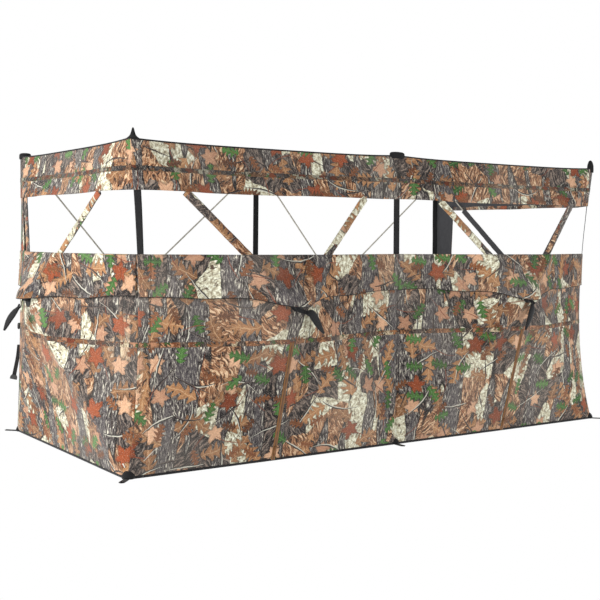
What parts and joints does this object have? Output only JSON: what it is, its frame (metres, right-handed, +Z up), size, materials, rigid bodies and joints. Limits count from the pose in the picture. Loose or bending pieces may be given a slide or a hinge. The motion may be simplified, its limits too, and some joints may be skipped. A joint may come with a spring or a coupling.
{
  "type": "pop up ground blind",
  "caption": "Open-topped pop up ground blind with popped-out camouflage cloth walls on sprung poles and hubs, a window belt and doors.",
  "frame": {"origin": "on the ground at the middle of the blind's plan", "axes": "+Z up, +X along the long front wall to the right seen from the front, +Y from front to back"},
  "size_m": [3.8216, 2.0166, 1.701],
  "materials": {
    "camo_cloth": "matte",
    "black_webbing": "matte",
    "corner_cloth": "matte",
    "fibreglass": "satin",
    "hub_plastic": "matte",
    "zip_tape": "matte",
    "zip_slider": "satin"
  },
  "bodies": {
    "front": {"front_hem": "camo_cloth", "front_wall": "camo_cloth", "front_window_flap": "camo_cloth", "front_upper_band": "camo_cloth", "front_pockets_and_pads": "corner_cloth", "front_corner_webbing": "black_webbing", "door_zips": "zip_tape"},
    "left_end": {"left_hem": "camo_cloth", "left_wall": "camo_cloth", "left_window_flap": "camo_cloth", "left_upper_band": "camo_cloth", "corner_tie_tape": "black_webbing"},
    "back": {"back_hem": "camo_cloth", "back_wall": "camo_cloth", "back_window_flap": "camo_cloth", "back_upper_band": "camo_cloth", "back_pockets_and_pads": "corner_cloth", "back_corner_webbing": "black_webbing"},
    "right_end": {"right_hem": "camo_cloth", "right_wall": "camo_cloth", "right_window_flap": "camo_cloth", "right_upper_band": "camo_cloth"},
    "front_left_hub": {"front_left_hub": "hub_plastic"},
    "front_left_pull_strap": {"front_left_pull_strap": "black_webbing"},
    "front_left_upper_left_rod": {"front_left_upper_left_rod": "fibreglass"},
    "front_left_upper_right_rod": {"front_left_upper_right_rod": "fibreglass"},
    "front_left_lower_left_rod": {"front_left_lower_left_rod": "fibreglass"},
    "front_left_lower_right_rod": {"front_left_lower_right_rod": "fibreglass"},
    "front_right_hub": {"front_right_hub": "hub_plastic"},
    "front_right_pull_strap": {"front_right_pull_strap": "black_webbing"},
    "front_right_upper_left_rod": {"front_right_upper_left_rod": "fibreglass"},
    "front_right_upper_right_rod": {"front_right_upper_right_rod": "fibreglass"},
    "front_right_lower_left_rod": {"front_right_lower_left_rod": "fibreglass"},
    "front_right_lower_right_rod": {"front_right_lower_right_rod": "fibreglass"},
    "left_hub": {"left_hub": "hub_plastic"},
    "left_pull_strap": {"left_pull_strap": "black_webbing"},
    "left_upper_left_rod": {"left_upper_left_rod": "fibreglass"},
    "left_upper_right_rod": {"left_upper_right_rod": "fibreglass"},
    "left_lower_left_rod": {"left_lower_left_rod": "fibreglass"},
    "left_lower_right_rod": {"left_lower_right_rod": "fibreglass"},
    "back_right_hub": {"back_right_hub": "hub_plastic"},
    "back_right_pull_strap": {"back_right_pull_strap": "black_webbing"},
    "back_right_upper_left_rod": {"back_right_upper_left_rod": "fibreglass"},
    "back_right_upper_right_rod": {"back_right_upper_right_rod": "fibreglass"},
    "back_right_lower_left_rod": {"back_right_lower_left_rod": "fibreglass"},
    "back_right_lower_right_rod": {"back_right_lower_right_rod": "fibreglass"},
    "back_left_hub": {"back_left_hub": "hub_plastic"},
    "back_left_pull_strap": {"back_left_pull_strap": "black_webbing"},
    "back_left_upper_left_rod": {"back_left_upper_left_rod": "fibreglass"},
    "back_left_upper_right_rod": {"back_left_upper_right_rod": "fibreglass"},
    "back_left_lower_left_rod": {"back_left_lower_left_rod": "fibreglass"},
    "back_left_lower_right_rod": {"back_left_lower_right_rod": "fibreglass"},
    "right_hub": {"right_hub": "hub_plastic"},
    "right_pull_strap": {"right_pull_strap": "black_webbing"},
    "right_upper_left_rod": {"right_upper_left_rod": "fibreglass"},
    "right_upper_right_rod": {"right_upper_right_rod": "fibreglass"},
    "right_lower_left_rod": {"right_lower_left_rod": "fibreglass"},
    "right_lower_right_rod": {"right_lower_right_rod": "fibreglass"},
    "front_left_zip_slider": {"front_left_zip_slider": "zip_slider"},
    "front_right_zip_slider": {"front_right_zip_slider": "zip_slider"}
  },
  "joints": [
    {"name": "side_fold", "type": "hinge", "parent": "front", "child": "left_end", "pos_m": [-1.665, -0.7625, 0], "axis": [0, 0, -1], "range_deg": [0, 75]},
    {"name": "right_fold", "type": "hinge", "parent": "front", "child": "right_end", "pos_m": [1.665, -0.7625, 0], "axis": [0, 0, -1], "range_deg": [-1, 76]},
    {"name": "back_fold", "type": "hinge", "parent": "left_end", "child": "back", "pos_m": [-1.665, 0.7625, 0], "axis": [0, 0, -1], "range_deg": [-76, 1]},
    {"name": "front_left_hub_pop", "type": "slide", "parent": "front", "child": "front_left_hub", "axis": [0, -1, 0], "range_m": [-0.4257, 0], "deforming": ["front_wall", "front_upper_band", "front_window_flap", "front_hem"]},
    {"name": "front_left_strap_swing", "type": "hinge", "parent": "front_left_hub", "child": "front_left_pull_strap", "pos_m": [-0.8325, -1.0025, 0.835], "axis": [-1, 0, 0], "range_deg": [-10, 120]},
    {"name": "front_left_upper_left_rod_swing", "type": "hinge", "parent": "front_left_hub", "child": "front_left_upper_left_rod", "pos_m": [-0.85365, -0.96335, 0.85627], "axis": [0.7091, 0, 0.7051], "range_deg": [-1, 22.8]},
    {"name": "front_left_upper_right_rod_swing", "type": "hinge", "parent": "front_left_hub", "child": "front_left_upper_right_rod", "pos_m": [-0.81135, -0.96335, 0.85627], "axis": [0.7091, 0, -0.7051], "range_deg": [-1, 22.8]},
    {"name": "front_left_lower_left_rod_swing", "type": "hinge", "parent": "front_left_hub", "child": "front_left_lower_left_rod", "pos_m": [-0.85365, -0.96335, 0.81373], "axis": [-0.7091, 0, 0.7051], "range_deg": [-1, 22.8]},
    {"name": "front_left_lower_right_rod_swing", "type": "hinge", "parent": "front_left_hub", "child": "front_left_lower_right_rod", "pos_m": [-0.81135, -0.96335, 0.81373], "axis": [-0.7091, 0, -0.7051], "range_deg": [-1, 22.8]},
    {"name": "front_right_hub_pop", "type": "slide", "parent": "front", "child": "front_right_hub", "axis": [0, -1, 0], "range_m": [-0.4257, 0], "deforming": ["front_wall", "front_upper_band", "front_window_flap", "front_hem"]},
    {"name": "front_right_strap_swing", "type": "hinge", "parent": "front_right_hub", "child": "front_right_pull_strap", "pos_m": [0.8325, -1.0025, 0.835], "axis": [-1, 0, 0], "range_deg": [-10, 120]},
    {"name": "front_right_upper_left_rod_swing", "type": "hinge", "parent": "front_right_hub", "child": "front_right_upper_left_rod", "pos_m": [0.81135, -0.96335, 0.85627], "axis": [0.7091, 0, 0.7051], "range_deg": [-1, 22.8]},
    {"name": "front_right_upper_right_rod_swing", "type": "hinge", "parent": "front_right_hub", "child": "front_right_upper_right_rod", "pos_m": [0.85365, -0.96335, 0.85627], "axis": [0.7091, 0, -0.7051], "range_deg": [-1, 22.8]},
    {"name": "front_right_lower_left_rod_swing", "type": "hinge", "parent": "front_right_hub", "child": "front_right_lower_left_rod", "pos_m": [0.81135, -0.96335, 0.81373], "axis": [-0.7091, 0, 0.7051], "range_deg": [-1, 22.8]},
    {"name": "front_right_lower_right_rod_swing", "type": "hinge", "parent": "front_right_hub", "child": "front_right_lower_right_rod", "pos_m": [0.85365, -0.96335, 0.81373], "axis": [-0.7091, 0, -0.7051], "range_deg": [-1, 22.8]},
    {"name": "left_hub_pop", "type": "slide", "parent": "left_end", "child": "left_hub", "axis": [-1, 0, 0], "range_m": [-0.4257, 0], "deforming": ["left_wall", "left_upper_band", "left_window_flap", "left_hem"]},
    {"name": "left_strap_swing", "type": "hinge", "parent": "left_hub", "child": "left_pull_strap", "pos_m": [-1.905, 0, 0.835], "axis": [0, 1, 0], "range_deg": [-10, 120]},
    {"name": "left_upper_left_rod_swing", "type": "hinge", "parent": "left_hub", "child": "left_upper_left_rod", "pos_m": [-1.86585, 0.02049, 0.85691], "axis": [0, -0.7303, 0.6831], "range_deg": [-1, 24.15]},
    {"name": "left_upper_right_rod_swing", "type": "hinge", "parent": "left_hub", "child": "left_upper_right_rod", "pos_m": [-1.86585, -0.02049, 0.85691], "axis": [0, -0.7303, -0.6831], "range_deg": [-1, 24.15]},
    {"name": "left_lower_left_rod_swing", "type": "hinge", "parent": "left_hub", "child": "left_lower_left_rod", "pos_m": [-1.86585, 0.02049, 0.81309], "axis": [0, 0.7303, 0.6831], "range_deg": [-1, 24.15]},
    {"name": "left_lower_right_rod_swing", "type": "hinge", "parent": "left_hub", "child": "left_lower_right_rod", "pos_m": [-1.86585, -0.02049, 0.81309], "axis": [0, 0.7303, -0.6831], "range_deg": [-1, 24.15]},
    {"name": "back_right_hub_pop", "type": "slide", "parent": "back", "child": "back_right_hub", "axis": [0, 1, 0], "range_m": [-0.4257, 0], "deforming": ["back_wall", "back_upper_band", "back_window_flap", "back_hem"]},
    {"name": "back_right_strap_swing", "type": "hinge", "parent": "back_right_hub", "child": "back_right_pull_strap", "pos_m": [0.8325, 1.0025, 0.835], "axis": [1, 0, 0], "range_deg": [-10, 120]},
    {"name": "back_right_upper_left_rod_swing", "type": "hinge", "parent": "back_right_hub", "child": "back_right_upper_left_rod", "pos_m": [0.85365, 0.96335, 0.85627], "axis": [-0.7091, 0, 0.7051], "range_deg": [-1, 22.8]},
    {"name": "back_right_upper_right_rod_swing", "type": "hinge", "parent": "back_right_hub", "child": "back_right_upper_right_rod", "pos_m": [0.81135, 0.96335, 0.85627], "axis": [-0.7091, 0, -0.7051], "range_deg": [-1, 22.8]},
    {"name": "back_right_lower_left_rod_swing", "type": "hinge", "parent": "back_right_hub", "child": "back_right_lower_left_rod", "pos_m": [0.85365, 0.96335, 0.81373], "axis": [0.7091, 0, 0.7051], "range_deg": [-1, 22.8]},
    {"name": "back_right_lower_right_rod_swing", "type": "hinge", "parent": "back_right_hub", "child": "back_right_lower_right_rod", "pos_m": [0.81135, 0.96335, 0.81373], "axis": [0.7091, 0, -0.7051], "range_deg": [-1, 22.8]},
    {"name": "back_left_hub_pop", "type": "slide", "parent": "back", "child": "back_left_hub", "axis": [0, 1, 0], "range_m": [-0.4257, 0], "deforming": ["back_wall", "back_upper_band", "back_window_flap", "back_hem"]},
    {"name": "back_left_strap_swing", "type": "hinge", "parent": "back_left_hub", "child": "back_left_pull_strap", "pos_m": [-0.8325, 1.0025, 0.835], "axis": [1, 0, 0], "range_deg": [-10, 120]},
    {"name": "back_left_upper_left_rod_swing", "type": "hinge", "parent": "back_left_hub", "child": "back_left_upper_left_rod", "pos_m": [-0.81135, 0.96335, 0.85627], "axis": [-0.7091, 0, 0.7051], "range_deg": [-1, 22.8]},
    {"name": "back_left_upper_right_rod_swing", "type": "hinge", "parent": "back_left_hub", "child": "back_left_upper_right_rod", "pos_m": [-0.85365, 0.96335, 0.85627], "axis": [-0.7091, 0, -0.7051], "range_deg": [-1, 22.8]},
    {"name": "back_left_lower_left_rod_swing", "type": "hinge", "parent": "back_left_hub", "child": "back_left_lower_left_rod", "pos_m": [-0.81135, 0.96335, 0.81373], "axis": [0.7091, 0, 0.7051], "range_deg": [-1, 22.8]},
    {"name": "back_left_lower_right_rod_swing", "type": "hinge", "parent": "back_left_hub", "child": "back_left_lower_right_rod", "pos_m": [-0.85365, 0.96335, 0.81373], "axis": [0.7091, 0, -0.7051], "range_deg": [-1, 22.8]},
    {"name": "right_hub_pop", "type": "slide", "parent": "right_end", "child": "right_hub", "axis": [1, 0, 0], "range_m": [-0.4257, 0], "deforming": ["right_wall", "right_upper_band", "right_window_flap", "right_hem"]},
    {"name": "right_strap_swing", "type": "hinge", "parent": "right_hub", "child": "right_pull_strap", "pos_m": [1.905, 0, 0.835], "axis": [0, -1, 0], "range_deg": [-10, 120]},
    {"name": "right_upper_left_rod_swing", "type": "hinge", "parent": "right_hub", "child": "right_upper_left_rod", "pos_m": [1.86585, -0.02049, 0.85691], "axis": [0, 0.7303, 0.6831], "range_deg": [-1, 24.15]},
    {"name": "right_upper_right_rod_swing", "type": "hinge", "parent": "right_hub", "child": "right_upper_right_rod", "pos_m": [1.86585, 0.02049, 0.85691], "axis": [0, 0.7303, -0.6831], "range_deg": [-1, 24.15]},
    {"name": "right_lower_left_rod_swing", "type": "hinge", "parent": "right_hub", "child": "right_lower_left_rod", "pos_m": [1.86585, -0.02049, 0.81309], "axis": [0, -0.7303, 0.6831], "range_deg": [-1, 24.15]},
    {"name": "right_lower_right_rod_swing", "type": "hinge", "parent": "right_hub", "child": "right_lower_right_rod", "pos_m": [1.86585, 0.02049, 0.81309], "axis": [0, -0.7303, -0.6831], "range_deg": [-1, 24.15]},
    {"name": "front_left_zip_slide", "type": "slide", "parent": "front", "child": "front_left_zip_slider", "axis": [0, -0.2669, 0.9637], "range_m": [0, 0.5712]},
    {"name": "front_right_zip_slide", "type": "slide", "parent": "front", "child": "front_right_zip_slider", "axis": [0, -0.2669, 0.9637], "range_m": [0, 0.5712]}
  ],
  "couplings": [
    {"joint": "right_fold", "follows": "side_fold", "ratio": 1},
    {"joint": "back_fold", "follows": "side_fold", "ratio": -1},
    {"joint": "front_left_upper_left_rod_swing", "follows": "front_left_hub_pop", "rad_per_m": -0.89382},
    {"joint": "front_left_upper_right_rod_swing", "follows": "front_left_hub_pop", "rad_per_m": -0.89382},
    {"joint": "front_left_lower_left_rod_swing", "follows": "front_left_hub_pop", "rad_per_m": -0.89382},
    {"joint": "front_left_lower_right_rod_swing", "follows": "front_left_hub_pop", "rad_per_m": -0.89382},
    {"joint": "front_right_upper_left_rod_swing", "follows": "front_right_hub_pop", "rad_per_m": -0.89382},
    {"joint": "front_right_upper_right_rod_swing", "follows": "front_right_hub_pop", "rad_per_m": -0.89382},
    {"joint": "front_right_lower_left_rod_swing", "follows": "front_right_hub_pop", "rad_per_m": -0.89382},
    {"joint": "front_right_lower_right_rod_swing", "follows": "front_right_hub_pop", "rad_per_m": -0.89382},
    {"joint": "left_upper_left_rod_swing", "follows": "left_hub_pop", "rad_per_m": -0.94898},
    {"joint": "left_upper_right_rod_swing", "follows": "left_hub_pop", "rad_per_m": -0.94898},
    {"joint": "left_lower_left_rod_swing", "follows": "left_hub_pop", "rad_per_m": -0.94898},
    {"joint": "left_lower_right_rod_swing", "follows": "left_hub_pop", "rad_per_m": -0.94898},
    {"joint": "back_right_upper_left_rod_swing", "follows": "back_right_hub_pop", "rad_per_m": -0.89382},
    {"joint": "back_right_upper_right_rod_swing", "follows": "back_right_hub_pop", "rad_per_m": -0.89382},
    {"joint": "back_right_lower_left_rod_swing", "follows": "back_right_hub_pop", "rad_per_m": -0.89382},
    {"joint": "back_right_lower_right_rod_swing", "follows": "back_right_hub_pop", "rad_per_m": -0.89382},
    {"joint": "back_left_upper_left_rod_swing", "follows": "back_left_hub_pop", "rad_per_m": -0.89382},
    {"joint": "back_left_upper_right_rod_swing", "follows": "back_left_hub_pop", "rad_per_m": -0.89382},
    {"joint": "back_left_lower_left_rod_swing", "follows": "back_left_hub_pop", "rad_per_m": -0.89382},
    {"joint": "back_left_lower_right_rod_swing", "follows": "back_left_hub_pop", "rad_per_m": -0.89382},
    {"joint": "right_upper_left_rod_swing", "follows": "right_hub_pop", "rad_per_m": -0.94898},
    {"joint": "right_upper_right_rod_swing", "follows": "right_hub_pop", "rad_per_m": -0.94898},
    {"joint": "right_lower_left_rod_swing", "follows": "right_hub_pop", "rad_per_m": -0.94898},
    {"joint": "right_lower_right_rod_swing", "follows": "right_hub_pop", "rad_per_m": -0.94898}
  ]
}
